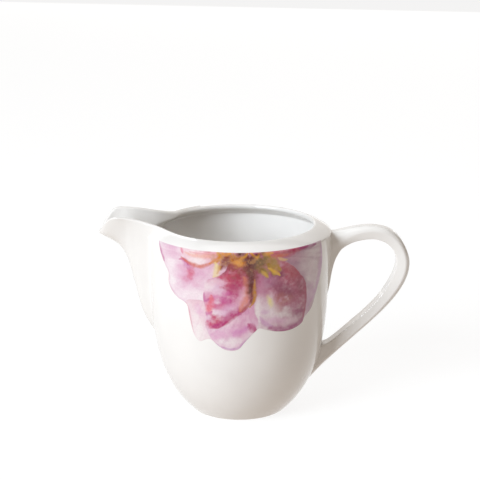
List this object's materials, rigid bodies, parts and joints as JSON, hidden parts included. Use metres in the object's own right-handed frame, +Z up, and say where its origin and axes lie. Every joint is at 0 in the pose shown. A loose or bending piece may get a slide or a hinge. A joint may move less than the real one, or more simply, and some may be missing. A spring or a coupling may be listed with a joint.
{
  "type": "porcelain cream jug",
  "caption": "Footed porcelain cream jug with a rounded bowl, an open pouring beak, a looped handle and a watercolour flower hanging from the shoulder.",
  "frame": {"origin": "on the table, under the middle of the jug's length and width", "axes": "+Z up, +X towards the handle, -X towards the beak, -Y is the side that carries the flower"},
  "size_m": [0.1361, 0.081, 0.0892],
  "materials": {
    "glazed_porcelain": "clear gloss glaze over white porcelain",
    "luting_slip": "fired porcelain slip between the pieces",
    "flower_print": "watercolour flower print fused into the glaze"
  },
  "bodies": {
    "root": {"cup": "glazed_porcelain", "spout": "glazed_porcelain", "handle": "glazed_porcelain", "spout_slip_joint": "luting_slip", "handle_upper_slip_joint": "luting_slip", "handle_lower_slip_joint": "luting_slip", "flower_transfer": "flower_print"}
  },
  "joints": []
}
